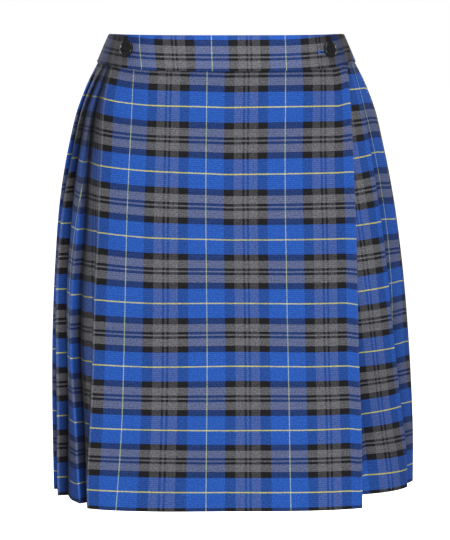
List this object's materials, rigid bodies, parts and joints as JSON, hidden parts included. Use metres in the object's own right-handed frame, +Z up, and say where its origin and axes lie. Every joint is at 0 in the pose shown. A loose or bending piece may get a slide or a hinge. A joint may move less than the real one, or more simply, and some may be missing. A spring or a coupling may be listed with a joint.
{
  "type": "scottish kilt",
  "caption": "Knee-length tartan wrap kilt filled out as worn: flat overlapping front aprons, knife pleats round the sides and back, waistband and two buttons.",
  "frame": {"origin": "middle of the waist, halfway up the waistband, where the wearer's waist holds the kilt up", "axes": "+Z up along the drop, -Y towards the front (the aprons), +X towards the outer apron's free edge"},
  "size_m": [0.4108, 0.2785, 0.515],
  "materials": {
    "tartan_cloth": "matte woven twill in a blue, grey and black tartan with fine yellow lines",
    "waistband_cloth": "the same tartan, cut on the straight and stiffened",
    "button_plastic": "glossy black moulded plastic"
  },
  "bodies": {
    "root": {"apron_front": "tartan_cloth", "apron_under": "tartan_cloth", "pleats_left": "tartan_cloth", "pleats_back_left": "tartan_cloth", "pleats_back_right": "tartan_cloth", "pleats_right": "tartan_cloth", "waistband": "waistband_cloth", "button_left": "button_plastic", "button_right": "button_plastic"}
  },
  "joints": []
}
